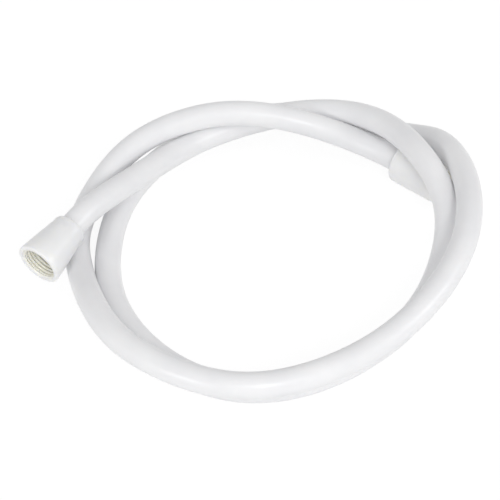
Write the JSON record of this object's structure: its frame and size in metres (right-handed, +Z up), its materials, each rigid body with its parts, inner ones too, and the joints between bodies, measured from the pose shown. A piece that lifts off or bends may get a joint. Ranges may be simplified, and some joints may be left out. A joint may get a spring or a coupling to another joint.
{
  "type": "shower hose",
  "caption": "Smooth white plastic shower hose lying in a loose coil, with a conical and a straight union nut that turn freely on its ends.",
  "frame": {"origin": "on the surface that the hose lies on, under the middle of the box round the coil and both nuts", "axes": "+Z up; +Y away from the viewer of the picture; the conical nut lies towards -X and the plain nut towards +X"},
  "size_m": [0.2442, 0.2456, 0.0422],
  "materials": {
    "hose_plastic": "smooth opaque white soft PVC with a satin gloss",
    "nut_plastic": "moulded white ABS with a satin gloss, a little warmer inside",
    "washer_rubber": "matt black rubber",
    "tail_brass": "turned brass",
    "ferrule_aluminium": "drawn aluminium"
  },
  "bodies": {
    "hose": {"hose": "hose_plastic", "cone_washer": "washer_rubber", "cone_tail": "tail_brass", "cone_ferrule": "ferrule_aluminium", "plain_washer": "washer_rubber", "plain_tail": "tail_brass", "plain_ferrule": "ferrule_aluminium"},
    "cone_nut": {"cone_nut": "nut_plastic"},
    "plain_nut": {"plain_nut": "nut_plastic"}
  },
  "joints": [
    {"name": "cone_nut_turn", "type": "hinge", "parent": "hose", "child": "cone_nut", "pos_m": [-0.10375, -0.01616, 0.02199], "axis": [0.5621, 0.8027, 0.1994], "continuous": true},
    {"name": "plain_nut_turn", "type": "hinge", "parent": "hose", "child": "plain_nut", "pos_m": [0.09541, 0.05631, 0.0117], "axis": [-0.7431, 0.6691, 0], "continuous": true}
  ]
}
